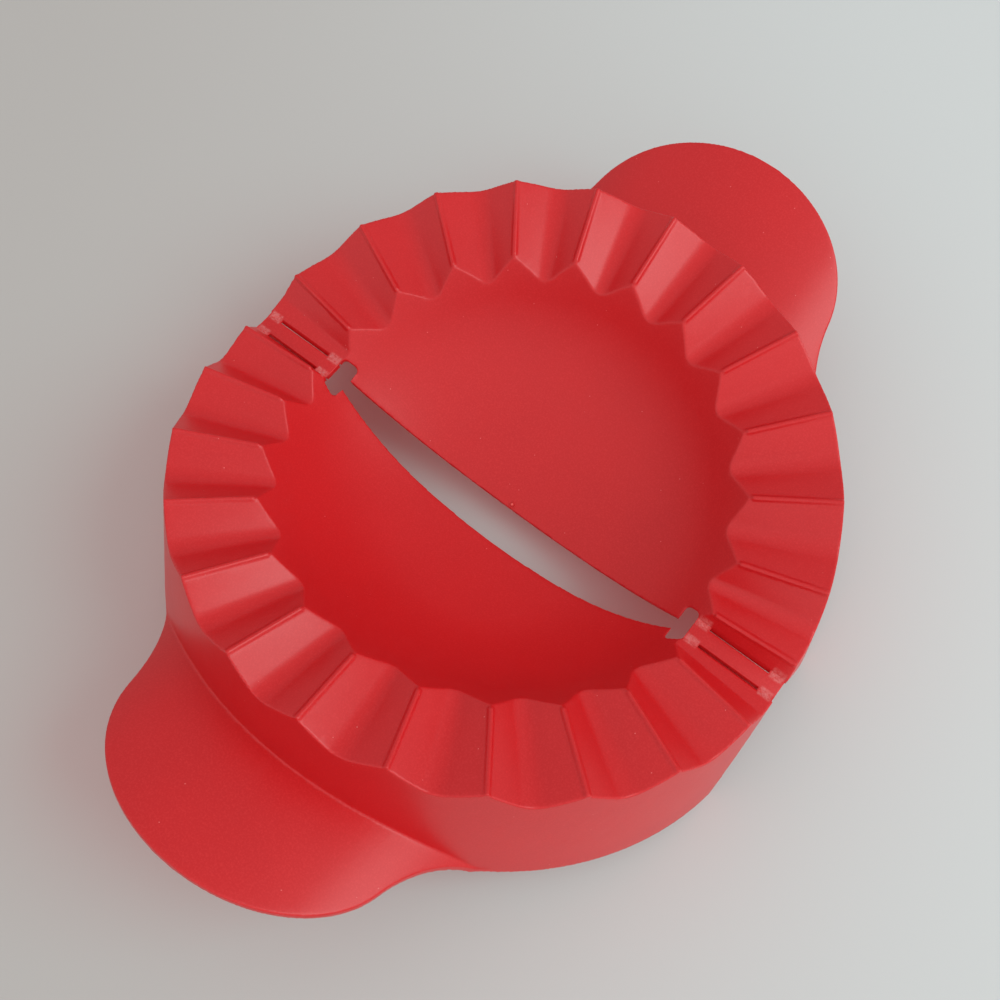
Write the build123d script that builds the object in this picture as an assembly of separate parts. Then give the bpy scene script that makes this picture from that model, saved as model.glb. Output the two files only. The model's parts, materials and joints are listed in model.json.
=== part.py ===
from build123d import *
from math import acos, asin, atan, cos, radians, sin, tan
import os

# Empanada press: two dished half jaws with fluted crimping rims, joined at both ends of the
# hinge line by a link bar between two moulded living hinges.  Millimetres, +Z up.  The press
# stands on the four lower corners of its skirts, both jaws held 18 degrees up in a shallow V.

# Whole jaw, drawn lying flat: X along the hinge line, Y out to the handle, Z up from the
# bottom of its bowl
JAW_TILT = 18.0             # how far each jaw stands up from flat at rest, degrees
RIM_CENTRE_Y = 1.6          # centre of the slightly oval rim, out from the middle of the press
WALL = 1.6                  # skirt, rim and hinge plate thickness

# Crimping rim: twelve radial ridges with rounded valleys, a thin bead along every crest
BEAD_TOP_Z = 25.75
CREST_Z = 25.4
VALLEY_Z = 21.2
RIM_HALF_WIDTH = 76.0       # at the height of the bead tops
RIM_HALF_LENGTH = 74.1
RIDGE_PITCH = 15.4          # degrees
FIRST_RIDGE = 4.0           # the ridge beside the hinge, degrees
SECOND_RIDGE = 16.85        # (180 - 9.5 * pitch) / 2, so ridges fall into the other jaw's valleys
RIDGES = 12
VALLEY_ROUND = 0.28         # share of each flute's width that is rounded
BEAD_WIDTH = 1.2
BEAD_INNER_R = 55.9
BEAD_OUTER_R = 78.0         # cut back to the skirt
BEAD_ROOT = 0.7             # how deep each bead is set into its crest

# Dished bowl: two tangent arcs and a 45 degree side that meets the flutes
BOWL_FLOOR_Z = 1.4
BOWL_WALL = 1.4
DISH_R = 101.0
DISH_END = 12.0             # slope where the flat dish turns up, degrees
SHOULDER_R = 55.0
SIDE_SLOPE = 45.0
SIDE_TOP_R = 58.0
EDGE_FLOOR_Y = -1.7         # inner edge of the bowl at its floor
EDGE_LEAN = 0.115           # that edge leans out by this much per mm of height

# Skirt: outer wall below the rim, upright at the handle and flared towards the hinge
SKIRT_BASE_Z = -12.0
SKIRT_BASE_R = 78.5
SKIRT_BASE_Y = -2.0         # centre of the base circle, which lies nearer the hinge than the rim's
SKIRT_END_Y = 9.8           # its two ends, measured at the base

# Handle: oval lug, level along its length and arched from side to side
TAB_CENTRE_Y = 77.2
TAB_HALF_WIDTH = 35.8
TAB_HALF_LENGTH = 28.6
TAB_FILLET_R = 38.0         # where its sides run into the skirt's base
TAB_THICK = 1.8
TAB_TOP_Z = 5.0
TAB_ARCH_R = 110.0          # middle of the arch
TAB_ARCH_X = 24.0           # past this it turns down more steeply
TAB_SIDE_R = 45.0

# Living hinges: a bar between two slots, thin webs at both ends of each slot
HINGE_Y = 2.4               # each bending line, out from the middle
HINGE_Z = 22.2
WEB_THICK = 0.5
SLOT_HALF = 0.45            # at the top; the jaw's side of each slot leans in under the bar
SLOT_FOOT = -0.15
LINK_THICK = 1.8
PLATE_TOP_Z = HINGE_Z + WEB_THICK / 2
PLATE_INNER_X = 52.8
LINK_OUTER_X = 75.9
SLOT_INNER_X = 56.5
SLOT_OUTER_X = 72.0
NOTCH_INNER_X = 49.2        # square notch in the bowl's edge beside the link bar
NOTCH_Y = 4.0
NOTCH_CORNER_R = 1.2

CUT_HIGH = 60.0             # reach of the cutting bodies
CUT_LOW = -20.0
CUT_FAR = 140.0
CONE_TOP = 40.0
FLUTE_NEAR = 46.0
FLUTE_FAR = 84.0
JAW_SIDE_Y = 1.0            # the rim is cut off here before its slots are cut


def ridge_angles():
    """Angle of every crest, from the hinge end where a ridge stands close to the slot."""
    return [FIRST_RIDGE] + [SECOND_RIDGE + RIDGE_PITCH * i for i in range(RIDGES - 1)]


def flank_slope(half_width):
    """Slope of the straight flank that ends in a rounded valley at the right depth."""
    low, high = 0.0, 3.0
    for _ in range(60):
        s = (low + high) / 2
        depth = s * (1 - VALLEY_ROUND) * half_width + VALLEY_ROUND * half_width * tan(atan(s) / 2)
        low, high = (s, high) if depth < CREST_Z - VALLEY_Z else (low, s)
    return s


def radial_plane(distance, angle):
    """Upright plane across a flute: its X runs anticlockwise, its Y runs up."""
    a = radians(angle)
    origin = (distance * cos(a), RIM_CENTRE_Y + distance * sin(a), 0)
    return Plane(origin=origin, x_dir=(-sin(a), cos(a), 0), z_dir=(cos(a), sin(a), 0))


def flute_edges(half, drop):
    """Crest, flank, rounded valley, flank, crest: lowered by drop."""
    s = flank_slope(half)
    y = VALLEY_ROUND * half
    z = CREST_Z - s * (half - y) - drop
    top = CREST_Z - drop
    return [
        Line((-half, top), (-y, z)),
        ThreePointArc((-y, z), (0, VALLEY_Z - drop), (y, z)),
        Line((y, z), (half, top)),
    ]


def end_edges(half, drop):
    """The last flute runs down from its crest to the flat plate beside the slot."""
    s = flank_slope(half)
    foot = -half + (CREST_Z - PLATE_TOP_Z) / s
    return [
        Line((-half, CREST_Z - drop), (foot, PLATE_TOP_Z - drop)),
        Line((foot, PLATE_TOP_Z - drop), (half, PLATE_TOP_Z - drop)),
    ]


def section(edges, bound, plane):
    """Closed face between a lower line of edges and an upper one, or a level."""
    left, right = edges[0] @ 0, edges[-1] @ 1
    if isinstance(bound, list):
        lid = [Line(left, bound[0] @ 0)] + bound + [Line(bound[-1] @ 1, right)]
    else:
        lid = [Polyline(left, (left.X, bound), (right.X, bound), right)]
    return plane * make_face(Curve() + edges + lid)


def flute(a0, a1, make_edges, full):
    """Wedge between two crests: the wall itself, or with full all the room over its underside."""
    mid, half = (a0 + a1) / 2, radians((a1 - a0) / 2)
    faces = []
    for d in (FLUTE_NEAR, FLUTE_FAR):
        y = d * tan(half)
        bound = CUT_HIGH if full else make_edges(y, 0)
        faces.append(section(make_edges(y, WALL), bound, radial_plane(d, mid)))
    return loft(faces, ruled=True)


def slot_wall_y(z):
    """Where the jaw's leaning side of a slot lies at a height."""
    return HINGE_Y + SLOT_HALF + (SLOT_FOOT - SLOT_HALF) * (PLATE_TOP_Z - z) / WALL


def hinge_side_flank(full):
    """Steep flank from the first ridge down to the edge of the slot."""
    faces = []
    for x in (FLUTE_NEAR, FLUTE_FAR):
        crest_y = RIM_CENTRE_Y + x * tan(radians(FIRST_RIDGE))
        edge = slot_wall_y(PLATE_TOP_Z)
        foot_z = PLATE_TOP_Z - WALL
        low = [(slot_wall_y(foot_z), foot_z), (crest_y, CREST_Z - WALL)]
        high = [(crest_y, CUT_HIGH), (edge, CUT_HIGH)] if full else \
            [(crest_y, CREST_Z), (edge, PLATE_TOP_Z)]
        plane = Plane(origin=(x, 0, 0), x_dir=(0, 1, 0), z_dir=(1, 0, 0))
        faces.append(plane * make_face(Polyline(*low, *high, close=True)))
    return loft(faces, ruled=True)


def fluted_band(full=False):
    """All the flutes of one rim, still overlong at both radii."""
    a = ridge_angles()
    parts = [flute(a[i], a[i + 1], flute_edges, full) for i in range(RIDGES - 1)]
    parts.append(flute(a[-1], a[-1] + RIDGE_PITCH, end_edges, full))
    parts.append(hinge_side_flank(full))
    return Part() + parts


def bead(angle):
    """Round-topped bead along one crest, a little proud of the skirt."""
    r = BEAD_WIDTH / 2
    low = CREST_Z - BEAD_ROOT
    spring = BEAD_TOP_Z - r
    outline = Polyline((-r, spring), (-r, low), (r, low), (r, spring))
    face = make_face(Curve() + [outline, ThreePointArc((r, spring), (0, BEAD_TOP_Z), (-r, spring))])
    return extrude(radial_plane(BEAD_INNER_R, angle) * face, BEAD_OUTER_R - BEAD_INNER_R)


def bowl_line(offset):
    """Points of the bowl's section, moved outwards by offset: floor, turn, shoulder, side."""
    e, s = radians(DISH_END), radians(SIDE_SLOPE)

    def on(centre, radius, angle):
        return centre[0] + (radius + offset) * sin(angle), centre[1] - (radius + offset) * cos(angle)

    c1 = (0, BOWL_FLOOR_Z + DISH_R)
    c2 = ((DISH_R - SHOULDER_R) * sin(e), c1[1] - (DISH_R - SHOULDER_R) * cos(e))
    turn = on(c2, SHOULDER_R, s)
    side = (SIDE_TOP_R, turn[1] + (SIDE_TOP_R - turn[0]) * tan(s))
    return [on(c1, DISH_R, 0), on(c1, DISH_R, e / 2), on(c1, DISH_R, e),
            on(c2, SHOULDER_R, (e + s) / 2), turn, side]


def revolved(edges):
    """Body of revolution about the rim's own upright axis."""
    face = make_face(Curve() + edges)
    return Pos(0, RIM_CENTRE_Y, 0) * revolve(Plane.XZ * face, Axis.Z)


def bowl_shell():
    p, q = bowl_line(0), bowl_line(BOWL_WALL)
    return revolved([
        ThreePointArc(p[0], p[1], p[2]), ThreePointArc(p[2], p[3], p[4]), Line(p[4], p[5]),
        Line(p[5], q[5]),
        Line(q[5], q[4]), ThreePointArc(q[4], q[3], q[2]), ThreePointArc(q[2], q[1], q[0]),
        Line(q[0], p[0]),
    ])


def bowl_hollow():
    """Everything inside the bowl, up through its mouth."""
    p = bowl_line(0)
    high = (p[5][0], CUT_HIGH)
    return revolved([
        ThreePointArc(p[0], p[1], p[2]), ThreePointArc(p[2], p[3], p[4]),
        Polyline(p[4], p[5], high, (0, CUT_HIGH), p[0]),
    ])


def skirt_ring(z, inset):
    """Section of the skirt's outer face at a height, or that far in from it."""
    up = (z - SKIRT_BASE_Z) / (BEAD_TOP_Z - SKIRT_BASE_Z)
    y = SKIRT_BASE_Y + (RIM_CENTRE_Y - SKIRT_BASE_Y) * up
    half_width = SKIRT_BASE_R + (RIM_HALF_WIDTH - SKIRT_BASE_R) * up
    half_length = SKIRT_BASE_R + (RIM_HALF_LENGTH - SKIRT_BASE_R) * up
    return Pos(0, y, z) * Ellipse(half_width - inset, half_length - inset)


def skirt_cone(inset=0.0):
    """Solid leaning cone inside the skirt's outer face, or that far in from it."""
    return loft([skirt_ring(SKIRT_BASE_Z, inset), skirt_ring(CONE_TOP, inset)], ruled=True)


def behind_line(points):
    """Block over the whole jaw, on the handle side of a line given as (y, z) points."""
    outline = Polyline(*points, (CUT_FAR, points[-1][1]), (CUT_FAR, points[0][1]), close=True)
    return extrude(Plane.YZ * make_face(outline), CUT_FAR, both=True)


def bowl_side():
    """Keeps what lies behind the bowl's leaning inner edge."""
    edge = [(EDGE_FLOOR_Y + EDGE_LEAN * (z - BOWL_FLOOR_Z), z) for z in (CUT_LOW, CUT_HIGH)]
    return behind_line(edge)


def skirt_side():
    """Keeps what lies behind the sloping ends of the skirt."""
    top_y = slot_wall_y(PLATE_TOP_Z)
    return behind_line([(SKIRT_END_Y, CUT_LOW), (SKIRT_END_Y, SKIRT_BASE_Z), (top_y, PLATE_TOP_Z),
                        (top_y, CUT_HIGH)])


def hinge_cut():
    """Room for the slots and link bars, and the rounded notches beside them."""
    cut = Part()
    edge, foot_z = slot_wall_y(PLATE_TOP_Z), PLATE_TOP_Z - WALL
    wall = [(slot_wall_y(foot_z), CUT_LOW), (slot_wall_y(foot_z), foot_z), (edge, PLATE_TOP_Z),
            (edge, CUT_HIGH)]
    side = make_face(Polyline(*wall, (-CUT_HIGH, CUT_HIGH), (-CUT_HIGH, CUT_LOW), close=True))
    for s in (-1, 1):
        slot = Pos(s * (PLATE_INNER_X + CUT_HIGH), 0) * extrude(Plane.YZ * side, CUT_HIGH, both=True)
        to_y = (Align.MIN if s > 0 else Align.MAX, Align.MAX, Align.CENTER)
        notch = Pos(s * NOTCH_INNER_X, NOTCH_Y) \
            * Box(PLATE_INNER_X - NOTCH_INNER_X, CUT_HIGH, 2 * CUT_HIGH, align=to_y)
        far = notch.edges().filter_by(Axis.Z).group_by(Axis.Y)[-1]
        cut += [slot, fillet(far, NOTCH_CORNER_R)]
    return cut


def crimp_rim():
    band = fluted_band() + [bead(a) for a in ridge_angles()]
    half = behind_line([(JAW_SIDE_Y, CUT_LOW), (JAW_SIDE_Y, CUT_HIGH)])
    return (band & skirt_cone() & half) - bowl_hollow() - hinge_cut()


def bowl(over):
    """Dish under the flutes; a crumb that the notch cuts loose beside the hinge is dropped."""
    dish = (bowl_shell() & bowl_side()) - over - hinge_cut()
    return max(dish.solids(), key=lambda solid: solid.volume)


def skirt(over):
    return ((skirt_cone() - skirt_cone(WALL)) & skirt_side()) - over


def concave_side():
    """Where the concave arc on the lug's right side touches the lug, and the arc's centre."""
    low, high = radians(-80), radians(80)
    for _ in range(60):
        a = (low + high) / 2
        touch = Vector(TAB_HALF_WIDTH * cos(a), TAB_CENTRE_Y + TAB_HALF_LENGTH * sin(a))
        out = Vector(cos(a) / TAB_HALF_WIDTH, sin(a) / TAB_HALF_LENGTH).normalized()
        centre = touch + out * TAB_FILLET_R
        clear = (centre - Vector(0, SKIRT_BASE_Y)).length - SKIRT_BASE_R - TAB_FILLET_R
        low, high = (a, high) if clear < 0 else (low, a)
    return touch, centre


def handle_outline():
    """Oval lug joined to the skirt's base circle by two concave arcs."""
    touch, centre = concave_side()
    lug, base = (0, TAB_CENTRE_Y), (0, SKIRT_BASE_Y)
    outline = Pos(*lug) * Ellipse(TAB_HALF_WIDTH, TAB_HALF_LENGTH) + Pos(*base) * Circle(SKIRT_BASE_R)
    for s in (-1, 1):
        at, corner = (s * touch.X, touch.Y), (s * centre.X, centre.Y)
        outline += make_face(Polyline(lug, at, corner, base, close=True)) \
            - Pos(*corner) * Circle(TAB_FILLET_R)
    return outline


def arch_line(inset):
    """Half of the lug's arched section, inset below its top: middle arc, side arc and a flat
    foot that ends where the concave arc runs into the skirt."""
    turn = asin(TAB_ARCH_X / TAB_ARCH_R)
    middle = (0, TAB_TOP_Z - TAB_ARCH_R)
    apart = TAB_ARCH_R - TAB_SIDE_R
    side = (apart * sin(turn), middle[1] + apart * cos(turn))

    def on(centre, radius, angle):
        return centre[0] + (radius - inset) * sin(angle), centre[1] + (radius - inset) * cos(angle)

    foot_z = SKIRT_BASE_Z + TAB_THICK - inset
    foot = acos((foot_z - side[1]) / (TAB_SIDE_R - inset))
    reach = concave_side()[1].X * SKIRT_BASE_R / (SKIRT_BASE_R + TAB_FILLET_R)
    a = [on(middle, TAB_ARCH_R, t) for t in (0, turn / 2, turn)]
    b = [on(side, TAB_SIDE_R, t) for t in ((turn + foot) / 2, foot)]
    return [ThreePointArc(*a), ThreePointArc(a[-1], *b), Line(b[-1], (reach, foot_z))]


def handle_tab():
    top, under = arch_line(0), arch_line(TAB_THICK)
    ends = [Line(top[0] @ 0, under[0] @ 0), Line(top[-1] @ 1, under[-1] @ 1)]
    half = extrude(Plane.XZ * make_face(Curve() + top + under + ends), -CUT_FAR)
    plan = Pos(0, 0, SKIRT_BASE_Z) * extrude(handle_outline(), CONE_TOP)
    return (plan & (half + mirror(half, Plane.YZ))) - skirt_cone()


def flat_jaw():
    """The walls of one jaw, lying flat on its base."""
    over = fluted_band(full=True)
    return {"bowl": bowl(over), "crimp_rim": crimp_rim(), "skirt": skirt(over),
            "handle_tab": handle_tab()}


def tilt(shape, angle=JAW_TILT):
    """Swings a jaw up about its own bending line."""
    return Pos(0, HINGE_Y, HINGE_Z) * Rot(angle, 0, 0) * Pos(0, -HINGE_Y, -HINGE_Z) * shape


def link_bar(side):
    mid = (PLATE_INNER_X + LINK_OUTER_X) / 2
    width = 2 * (HINGE_Y - SLOT_HALF)
    z = PLATE_TOP_Z - LINK_THICK / 2
    return Pos(side * mid, 0, z) * Box(LINK_OUTER_X - PLATE_INNER_X, width, LINK_THICK)


def web(x0, x1):
    """Thin strip over one end of a slot, bent between the level bar and the tilted jaw."""
    low, high = PLATE_TOP_Z - WEB_THICK, PLATE_TOP_Z
    a = radians(JAW_TILT)

    def tilted(z):
        out, up = slot_wall_y(z) - HINGE_Y, z - HINGE_Z
        return HINGE_Y + out * cos(a) - up * sin(a), HINGE_Z + out * sin(a) + up * cos(a)

    y = HINGE_Y - SLOT_HALF
    face = make_face(Polyline((y, low), tilted(low), tilted(high), (y, high), close=True))
    strip = extrude(Plane.YZ * face, x1 - x0)
    return Pos(x0, 0, 0) * strip


def all_nodes():
    nodes = {}
    for name, shape in flat_jaw().items():
        rear = tilt(shape)
        nodes["rear_" + name] = rear
        nodes["front_" + name] = Rot(0, 0, 180) * rear
    for side, s in (("left", -1), ("right", 1)):
        nodes[side + "_link_bar"] = link_bar(s)
        for place, x0, x1 in (("inner", PLATE_INNER_X, SLOT_INNER_X),
                              ("outer", SLOT_OUTER_X, LINK_OUTER_X)):
            low, high = sorted((s * x0, s * x1))
            nodes[f"{side}_rear_{place}_web"] = web(low, high)
            nodes[f"{side}_front_{place}_web"] = Rot(0, 0, 180) * web(-high, -low)
    return nodes


def main():
    os.makedirs("parts", exist_ok=True)
    nodes = all_nodes()
    lift = -min(shape.bounding_box().min.Z for shape in nodes.values())
    for name, shape in nodes.items():
        placed = Pos(0, 0, lift) * shape
        export_step(placed, f"parts/{name}.step")
        box = placed.bounding_box()
        print(name, len(placed.solids()), round(placed.volume, 1), box.min, box.max)
    print("lift", round(lift, 4))


main()
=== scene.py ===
import json
from math import cos, radians, sin, tan

import bpy
from mathutils import Matrix, Vector

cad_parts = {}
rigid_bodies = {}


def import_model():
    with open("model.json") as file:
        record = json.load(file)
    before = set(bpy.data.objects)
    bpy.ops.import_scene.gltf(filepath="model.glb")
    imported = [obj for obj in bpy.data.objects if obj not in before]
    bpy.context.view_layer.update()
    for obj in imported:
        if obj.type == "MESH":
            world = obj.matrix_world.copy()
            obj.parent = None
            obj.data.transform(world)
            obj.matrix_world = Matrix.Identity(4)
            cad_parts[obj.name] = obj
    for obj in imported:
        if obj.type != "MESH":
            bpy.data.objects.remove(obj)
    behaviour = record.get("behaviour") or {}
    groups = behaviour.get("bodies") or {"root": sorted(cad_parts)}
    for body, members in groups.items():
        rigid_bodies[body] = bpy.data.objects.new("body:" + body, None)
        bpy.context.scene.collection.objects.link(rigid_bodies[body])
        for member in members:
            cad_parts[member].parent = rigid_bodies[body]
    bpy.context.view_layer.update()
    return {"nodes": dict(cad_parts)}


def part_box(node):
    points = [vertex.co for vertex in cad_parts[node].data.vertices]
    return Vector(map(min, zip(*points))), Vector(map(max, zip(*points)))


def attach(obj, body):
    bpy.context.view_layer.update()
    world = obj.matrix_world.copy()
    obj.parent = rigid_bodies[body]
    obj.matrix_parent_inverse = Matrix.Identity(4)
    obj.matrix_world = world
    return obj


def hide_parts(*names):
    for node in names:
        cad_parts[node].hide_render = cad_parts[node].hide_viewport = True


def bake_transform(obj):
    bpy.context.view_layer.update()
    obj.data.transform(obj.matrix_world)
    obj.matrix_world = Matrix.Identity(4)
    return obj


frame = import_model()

# ---------------------------------------------------------------------------------------------
# Red polypropylene.  The whole press is one injection moulding in solid-dyed polypropylene, cut
# from a spark-eroded tool, so it has a fine even matt grain, an eggshell sheen and no gloss.
# Thin walls let a little light through, and the hinges are painted pale and chalky where they are bent:
# partly the whitening of crazed plastic, partly a painted glow of light through the thin webs.

RED = "#D5181D"
RED_DEEP = "#C21117"
GRAIN_RED = "#E23A3C"       # light scattered back by the tips of the grain
WHITENED_AND_GLOW = "#DC7573"        # crazed polypropylene in the hinges, and a painted glow of light through their thin webs
SPECK = "#F0A09C"
SHINES_THROUGH = "#EE8080"  # what each face of a wall lets through of the lamp's light
GRAIN = 0.0004              # spacing of the tool's grain; real spark grain is 0.1 mm, drawn coarser to show
FLOW_MARKS = 0.045          # how far apart the faint cloudy flow marks of the moulding lie
SPECKS = 0.004              # pale specks of dust, in cells of 4 mm, few of which lie on the surface
SPECK_R = 0.00014
CRAZE = 0.0007              # size of the white flecks in the bent plastic
BEND_Y = 0.0024             # each bending line, out from the middle
BEND_Z = 0.0302394
WHITE_SPOTS_X = ((0.0528, 0.0565), (0.0720, 0.0759))    # where the hinge webs run, out from the middle
WHITE_HALF = (0.0013, 0.0008, 0.0016)   # how far the whitening spreads from the middle of each bend
WHITE_FADE = 0.0006
CRAZE_RISE = 1.5            # how much the crazing roughens the skin, as a share of the grain


def linear(hex_colour):
    """Linear RGBA from an sRGB hex value."""
    out = []
    for i in (1, 3, 5):
        c = int(hex_colour[i:i + 2], 16) / 255
        out.append(c / 12.92 if c <= 0.04045 else ((c + 0.055) / 1.055) ** 2.4)
    return (*out, 1.0)


def add_node(tree, kind, settings=None, **links):
    """Adds a node, sets its properties and unlinked inputs, and links the inputs named in links."""
    node = tree.nodes.new(kind)
    for key, value in (settings or {}).items():
        if isinstance(key, int) or key in node.inputs:
            node.inputs[key].default_value = value
        else:
            setattr(node, key, value)
    for name, source in links.items():
        target = node.inputs[int(name[1:])] if name[0] == "_" else node.inputs[name.replace("_", " ")]
        tree.links.new(source, target)
    return node


def hinge_places(tree, place):
    """Mask of the eight places where the hinges bend: 1 at each, fading to 0 just past it."""
    folded = add_node(tree, "ShaderNodeVectorMath", {"operation": "ABSOLUTE"}, _0=place)
    spots = []
    for near, far in WHITE_SPOTS_X:
        middle = ((near + far) / 2, BEND_Y, BEND_Z)
        from_middle = add_node(tree, "ShaderNodeVectorMath", {"operation": "SUBTRACT", 1: middle},
                               _0=folded.outputs["Vector"])
        away = add_node(tree, "ShaderNodeVectorMath", {"operation": "ABSOLUTE"},
                        _0=from_middle.outputs["Vector"])
        axes = add_node(tree, "ShaderNodeSeparateXYZ", _0=away.outputs["Vector"]).outputs
        in_x, in_y, in_z = [
            add_node(tree, "ShaderNodeMapRange",
                     {"interpolation_type": "SMOOTHSTEP", "From Min": half + WHITE_FADE, "From Max": half},
                     _0=axis).outputs["Result"]
            for axis, half in zip(axes, WHITE_HALF)]
        in_plan = add_node(tree, "ShaderNodeMath", {"operation": "MULTIPLY"}, _0=in_x, _1=in_y)
        spots.append(add_node(tree, "ShaderNodeMath", {"operation": "MULTIPLY"},
                              _0=in_plan.outputs[0], _1=in_z).outputs[0])
    return add_node(tree, "ShaderNodeMath", {"operation": "MAXIMUM"}, _0=spots[0], _1=spots[1]).outputs[0]


def moulded_polypropylene(name, red, red_deep):
    """Solid-dyed red polypropylene with the grain of a spark-eroded tool."""
    material = bpy.data.materials.new(name)
    material.use_nodes = True
    tree = material.node_tree
    tree.nodes.clear()
    place = add_node(tree, "ShaderNodeTexCoord").outputs["Object"]

    flow = add_node(tree, "ShaderNodeTexNoise", {"Scale": 1 / FLOW_MARKS, "Detail": 3.0, "Roughness": 0.55},
                    Vector=place)
    dye = add_node(tree, "ShaderNodeMix", {"data_type": "RGBA", 6: linear(red_deep), 7: linear(red)},
                   _0=flow.outputs["Fac"])

    grain = add_node(tree, "ShaderNodeTexNoise", {"Scale": 1 / GRAIN, "Detail": 2.0, "Roughness": 0.6},
                     Vector=place)
    tips = add_node(tree, "ShaderNodeMapRange", {"From Min": 0.45, "From Max": 0.75, "To Max": 0.35},
                    _0=grain.outputs["Fac"])
    grained = add_node(tree, "ShaderNodeMix", {"data_type": "RGBA", 7: linear(GRAIN_RED)},
                       _0=tips.outputs["Result"], _6=dye.outputs[2])

    cells = add_node(tree, "ShaderNodeTexVoronoi", {"Scale": 1 / SPECKS}, Vector=place)
    in_speck = add_node(tree, "ShaderNodeMapRange",
                        {"From Min": SPECK_R / SPECKS, "From Max": 0.6 * SPECK_R / SPECKS, "To Max": 0.7},
                        _0=cells.outputs["Distance"])
    dusty = add_node(tree, "ShaderNodeMix", {"data_type": "RGBA", 7: linear(SPECK)},
                     _0=in_speck.outputs["Result"], _6=grained.outputs[2])

    flecks = add_node(tree, "ShaderNodeTexNoise", {"Scale": 1 / CRAZE, "Detail": 3.0, "Roughness": 0.7},
                      Vector=place)
    chalky = add_node(tree, "ShaderNodeMapRange", {"From Min": 0.35, "From Max": 0.7, "To Min": 0.1},
                      _0=flecks.outputs["Fac"])
    bent = add_node(tree, "ShaderNodeMath", {"operation": "MULTIPLY"},
                    _0=hinge_places(tree, place), _1=chalky.outputs["Result"])
    # Painted glow: the bending places are painted pale, partly for crazed plastic and partly for light
    # through the thin webs.
    colour = add_node(tree, "ShaderNodeMix", {"data_type": "RGBA", 7: linear(WHITENED_AND_GLOW)},
                      _0=bent.outputs[0], _6=dusty.outputs[2])

    relief = add_node(tree, "ShaderNodeMath", {"operation": "MULTIPLY_ADD", 1: CRAZE_RISE},
                      _0=bent.outputs[0], _2=grain.outputs["Fac"])
    bump = add_node(tree, "ShaderNodeBump", {"Strength": 0.35, "Distance": 0.00003},
                    Height=relief.outputs[0])

    surface = add_node(tree, "ShaderNodeBsdfPrincipled",
                       {"Roughness": 0.37, "IOR": 1.49, "Subsurface Weight": 0.25,
                        "Subsurface Radius": (1.0, 0.10, 0.08), "Subsurface Scale": 0.0008},
                       Normal=bump.outputs["Normal"], **{"Base Color": colour.outputs[2]})
    tinted = add_node(tree, "ShaderNodeBsdfTransparent", {"Color": linear(SHINES_THROUGH)})
    in_shadow = add_node(tree, "ShaderNodeLightPath").outputs["Is Shadow Ray"]
    plastic = add_node(tree, "ShaderNodeMixShader", _0=in_shadow, _1=surface.outputs["BSDF"],
                       _2=tinted.outputs["BSDF"])
    add_node(tree, "ShaderNodeOutputMaterial", Surface=plastic.outputs["Shader"])
    return material


red_plastic = moulded_polypropylene("moulded_red_polypropylene", RED, RED_DEEP)

# ---------------------------------------------------------------------------------------------
# Jaws.  The press has two identical jaws, each a dished bowl, a fluted crimping rim, a conical
# skirt and an arched handle tab, moulded as one wall, so their walls are merged into one skin
# with a small radius at every corner.  The second jaw is the first turned half a turn.

MOULD_GRID = 0.0003         # the skin is rebuilt on this grid, which leaves radii of about 0.3 mm
KEPT_SHARE = 0.135          # share of the skin's triangles that is kept, which is under 200,000 a jaw
LIP_X = (0.0562, 0.0723)    # a lip under each slot's edge narrows the slot
LIP_Y = (0.00242, 0.0027)
LIP_Z = (0.0289, 0.0299)
JAW_WALLS = ("bowl", "crimp_rim", "skirt", "handle_tab")


def only(piece):
    """Makes piece the one selected and active object."""
    bpy.ops.object.select_all(action="DESELECT")
    piece.select_set(True)
    bpy.context.view_layer.objects.active = piece


def finish_with(piece, kind, **settings):
    """Adds a modifier and applies it."""
    only(piece)
    modifier = piece.modifiers.new(kind.title(), kind)
    for key, value in settings.items():
        setattr(modifier, key, value)
    bpy.ops.object.modifier_apply(modifier=modifier.name)


def weld(piece):
    """Merges a mesh's loose triangles."""
    only(piece)
    bpy.ops.object.mode_set(mode="EDIT")
    bpy.ops.mesh.select_all(action="SELECT")
    bpy.ops.mesh.remove_doubles(threshold=0.000001)
    bpy.ops.object.mode_set(mode="OBJECT")


walls = []
for wall_name in JAW_WALLS:
    node = frame["nodes"]["rear_" + wall_name]
    wall = bpy.data.objects.new("rear_" + wall_name + "_wall", node.data.copy())
    wall.data.materials.clear()
    bpy.context.collection.objects.link(wall)
    walls.append(wall)
for side in (-1, 1):
    bpy.ops.object.select_all(action="DESELECT")
    bpy.ops.mesh.primitive_cube_add(
        size=1, location=(side * sum(LIP_X) / 2, sum(LIP_Y) / 2, sum(LIP_Z) / 2))
    lip = bpy.context.object
    lip.scale = (LIP_X[1] - LIP_X[0], LIP_Y[1] - LIP_Y[0], LIP_Z[1] - LIP_Z[0])
    bpy.ops.object.transform_apply(location=True, rotation=True, scale=True)
    walls.append(lip)
only(walls[0])
for wall in walls[1:]:
    wall.select_set(True)
bpy.ops.object.join()
rear_jaw = walls[0]
rear_jaw.name = "rear_jaw_moulding"
weld(rear_jaw)
finish_with(rear_jaw, "REMESH", mode="VOXEL", voxel_size=MOULD_GRID)
finish_with(rear_jaw, "SMOOTH", factor=0.5, iterations=2)
finish_with(rear_jaw, "DECIMATE", ratio=KEPT_SHARE)
rear_jaw.data.materials.append(red_plastic)
only(rear_jaw)
bpy.ops.object.shade_smooth()

front_jaw = bpy.data.objects.new("front_jaw_moulding", rear_jaw.data.copy())
bpy.context.collection.objects.link(front_jaw)
front_jaw.data.transform(Matrix.Rotation(radians(180), 4, "Z"))

for jaw, body in ((rear_jaw, "rear"), (front_jaw, "front")):
    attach(jaw, body + "_jaw")
    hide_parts(*[body + "_" + wall_name for wall_name in JAW_WALLS])

# ---------------------------------------------------------------------------------------------
# Gate mark.  The stub that is left where the plastic was let into the mould: a small pip in a
# shallow ring, on the floor of the rear bowl near its edge.

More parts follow.
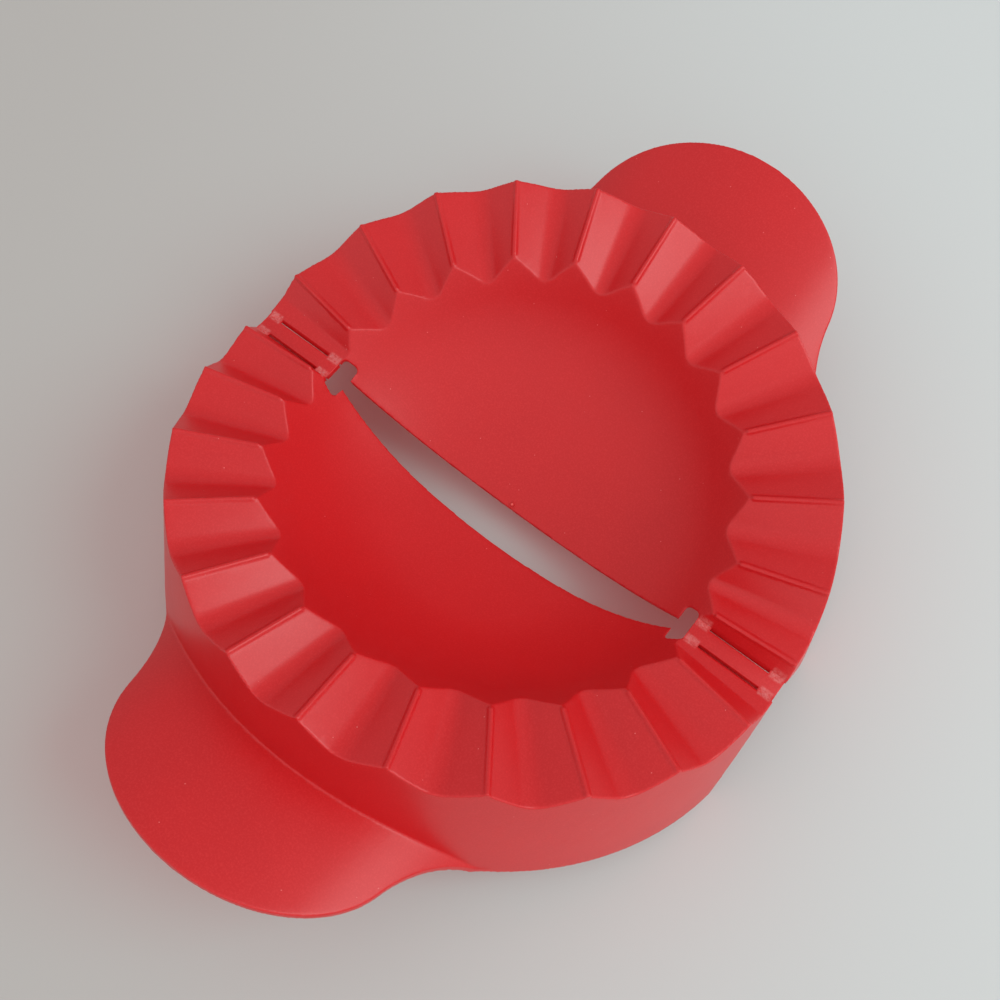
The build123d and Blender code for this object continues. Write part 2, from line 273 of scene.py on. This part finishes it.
GATE_AT = (-0.00184, 0.00602, 0.00959)
GATE_OUTWARDS = (0.018, -0.289, 0.957)
GATE_RING_R = 0.00080
GATE_SUNK = 0.00020         # the ring starts this far under the bowl's face
GATE_STEPS = ((0.00000, GATE_SUNK + 0.00022), (0.00012, -0.00020), (0.00022, 0.00038),
              (0.00006, 0.00008), (0.00012, 0.00004))   # in and up, from the ring's edge to the pip's top
GATE_RADIUS = 0.00003
PIP_HIGHLIGHT_RED = "#F07A70"        # the pip's top is painted paler, a painted highlight on the small nub
PIP_HIGHLIGHT_DEEP = "#E4584F"

bpy.ops.object.select_all(action="DESELECT")
bpy.ops.mesh.primitive_circle_add(vertices=40, radius=GATE_RING_R, fill_type="NGON", location=(0, 0, 0))
gate_mark = bpy.context.object
gate_mark.name = "rear_gate_mark"
bpy.ops.object.mode_set(mode="EDIT")
bpy.ops.mesh.select_all(action="SELECT")
gate_mark.data.materials.append(red_plastic)
gate_mark.data.materials.append(moulded_polypropylene("pip_painted_highlight_polypropylene", PIP_HIGHLIGHT_RED, PIP_HIGHLIGHT_DEEP))
for inwards, upwards in GATE_STEPS:
    if inwards:
        bpy.ops.mesh.inset(thickness=inwards)
    bpy.ops.mesh.extrude_region_move(TRANSFORM_OT_translate={"value": (0, 0, upwards)})
# Painted highlight: the top of the pip and the faces next to it get the paler material.
bpy.ops.mesh.select_more()
gate_mark.active_material_index = 1
bpy.ops.object.material_slot_assign()
bpy.ops.object.mode_set(mode="OBJECT")
finish_with(gate_mark, "BEVEL", width=GATE_RADIUS, segments=2)
stands = Vector(GATE_OUTWARDS).to_track_quat("Z", "Y").to_matrix().to_4x4()
gate_mark.data.transform(Matrix.Translation((0, 0, -GATE_SUNK)))
gate_mark.data.transform(Matrix.Translation(GATE_AT) @ stands)
bpy.ops.object.shade_smooth_by_angle(angle=radians(40))
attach(gate_mark, "rear_jaw")

# ---------------------------------------------------------------------------------------------
# Link bars.  A flat bar at each end of the hinge line, between two slots.  It is the same wall
# of the moulding, with leaning sides so that the tool draws, and it is held to both jaws only by
# the webs at the ends of its slots.

BAR_RADIUS = 0.0002
BAR_FOOT = 1.18             # the bar's foot is this many times as wide as its top

for side in ("left", "right"):
    low, high = [Vector(corner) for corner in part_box(side + "_link_bar")]
    bpy.ops.object.select_all(action="DESELECT")
    bpy.ops.mesh.primitive_cube_add(size=1, location=(low + high) / 2)
    bar = bpy.context.object
    bar.name = side + "_link_bar_moulding"
    bar.scale = high - low
    bpy.ops.object.transform_apply(location=True, rotation=True, scale=True)
    bpy.ops.object.mode_set(mode="EDIT")
    bpy.ops.mesh.select_mode(type="VERT")
    bpy.ops.mesh.select_all(action="DESELECT")
    bpy.ops.object.mode_set(mode="OBJECT")
    for vertex in bar.data.vertices:
        vertex.select = vertex.co.z < (low.z + high.z) / 2
    bpy.ops.object.mode_set(mode="EDIT")
    bpy.ops.transform.resize(value=(1.0, BAR_FOOT, 1.0), center_override=(0.0, 0.0, 0.0))
    bpy.ops.object.mode_set(mode="OBJECT")
    finish_with(bar, "BEVEL", width=BAR_RADIUS, segments=3)
    bar.data.materials.append(red_plastic)
    bpy.ops.object.shade_smooth_by_angle(angle=radians(40))
    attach(bar, "hinge_links")
    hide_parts(side + "_link_bar")

# ---------------------------------------------------------------------------------------------
# Living hinges.  Eight webs, half a millimetre thick, cross the ends of the slots, and they are
# all that bends.  Each is a strip that runs level from the bar and turns up to the jaw's plate.

SLOT_HALF = 0.00045
WEB_THICK = 0.0005
REST_FOLD = radians(18)
TUCK = 0.0003               # how far the strip is let into the bar and the plate
BEND_STEPS = 8
WEB_GAP = 0.00003           # the strip lies this far under the faces that it joins

start_y = BEND_Y - SLOT_HALF
bend_radius = SLOT_HALF / tan(REST_FOLD / 2)

for side, sx in (("left", -1), ("right", 1)):
    for jaw_name, sy in (("rear", 1), ("front", -1)):
        for place, (near, far) in zip(("inner", "outer"), WHITE_SPOTS_X):
            node_name = side + "_" + jaw_name + "_" + place + "_web"
            bpy.ops.object.select_all(action="DESELECT")
            bpy.ops.mesh.primitive_plane_add(size=1, rotation=(radians(90), 0, 0),
                                             location=(sx * sy * (near + far) / 2, start_y - TUCK, BEND_Z))
            web = bpy.context.object
            web.name = node_name + "_strip"
            web.scale = (far - near, WEB_THICK - WEB_GAP * 2, 1)
            bpy.ops.object.transform_apply(location=True, rotation=True, scale=True)
            bpy.ops.object.mode_set(mode="EDIT")
            bpy.ops.mesh.select_all(action="SELECT")
            bpy.ops.mesh.extrude_region_move(TRANSFORM_OT_translate={"value": (0, TUCK, 0)})
            bpy.ops.mesh.spin(steps=BEND_STEPS, angle=-REST_FOLD, axis=(1, 0, 0),
                              center=(0, start_y, BEND_Z + bend_radius))
            on_out = (0, TUCK * cos(REST_FOLD), TUCK * sin(REST_FOLD))
            bpy.ops.mesh.extrude_region_move(TRANSFORM_OT_translate={"value": on_out})
            bpy.ops.mesh.select_all(action="SELECT")
            bpy.ops.mesh.remove_doubles(threshold=0.000001)
            bpy.ops.mesh.normals_make_consistent(inside=False)
            bpy.ops.object.mode_set(mode="OBJECT")
            if sy < 0:
                web.data.transform(Matrix.Rotation(radians(180), 4, "Z"))
            web.data.materials.append(red_plastic)
            bpy.ops.object.shade_smooth_by_angle(angle=radians(40))
            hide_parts(node_name)
            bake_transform(web)

# ---------------------------------------------------------------------------------------------
# Table, light and camera.  A pale table painted lighter on the lamp's side and darker away from it,
# one broad soft lamp high on the right, and light from a room that is brighter on one side.

TABLE_SIZE = 40
TABLE_PAINTED_LIT = "#D1D6D5"      # painted light, on the lamp's side
# painted shade, on the side away from the lamp
TABLE_PAINTED_SHADE = "#BDBAB6"
TABLE_FADE = 0.16           # how far out from the middle each of the two colours is reached
LAMP_SIDE = (0.785, 0.619, 0.0)
LAMP_AT = (0.83, 0.30, 0.86)
LAMP_ACROSS = 0.8
LAMP_WATTS = 5.8
BRIGHT_SIDE = (0.5, -0.86, 0.0)     # the side on which the room is brighter
ROOM_DIM = 0.44
ROOM_BRIGHT = 0.98
CAMERA_AT = (0.066477, -0.085530, 0.275412)
CAMERA_TURN = (23.481, 0.0, 38.282)     # degrees
LENS = 41.41
SENSOR = 36

bpy.ops.object.select_all(action="DESELECT")
bpy.ops.mesh.primitive_plane_add(size=TABLE_SIZE, location=(0, 0, 0))
table = bpy.context.object
table.name = "table_top"
paint = bpy.data.materials.new("pale_table_with_painted_light")
paint.use_nodes = True
tree = paint.node_tree
place = add_node(tree, "ShaderNodeTexCoord").outputs["Object"]
# Painted light: the table is painted darker away from the lamp and lighter towards it.
towards = add_node(tree, "ShaderNodeVectorMath", {"operation": "DOT_PRODUCT", 1: LAMP_SIDE}, _0=place)
fade = add_node(tree, "ShaderNodeMapRange",
                {"interpolation_type": "SMOOTHSTEP", "From Min": -TABLE_FADE, "From Max": TABLE_FADE},
                _0=towards.outputs["Value"])
shade = add_node(tree, "ShaderNodeMix",
                 {"data_type": "RGBA", 6: linear(TABLE_PAINTED_SHADE), 7: linear(TABLE_PAINTED_LIT)},
                 _0=fade.outputs["Result"])
tree.links.new(shade.outputs[2], tree.nodes["Principled BSDF"].inputs["Base Color"])
tree.nodes["Principled BSDF"].inputs["Roughness"].default_value = 0.9
table.data.materials.append(paint)

bpy.ops.object.light_add(type="AREA", location=LAMP_AT)
lamp = bpy.context.object
lamp.data.shape = "DISK"
lamp.data.size = LAMP_ACROSS
lamp.data.energy = LAMP_WATTS
lamp.rotation_euler = (-Vector(LAMP_AT)).to_track_quat("-Z", "Y").to_euler()

world = bpy.data.worlds.new("room_light")
world.use_nodes = True
sky = world.node_tree
direction = add_node(sky, "ShaderNodeTexCoord").outputs["Generated"]
facing = add_node(sky, "ShaderNodeVectorMath", {"operation": "DOT_PRODUCT", 1: BRIGHT_SIDE}, _0=direction)
room = add_node(sky, "ShaderNodeMapRange", {"From Min": -1.0, "To Min": ROOM_DIM, "To Max": ROOM_BRIGHT},
                _0=facing.outputs["Value"])
sky.nodes["Background"].inputs["Color"].default_value = (1, 1, 1, 1)
sky.links.new(room.outputs["Result"], sky.nodes["Background"].inputs["Strength"])
bpy.context.scene.world = world

bpy.ops.object.camera_add(location=CAMERA_AT, rotation=[radians(turn) for turn in CAMERA_TURN])
camera = bpy.context.object
camera.data.lens = LENS
camera.data.sensor_width = SENSOR
camera.data.clip_start = 0.01
bpy.context.scene.camera = camera
bpy.context.scene.view_settings.view_transform = "Standard"
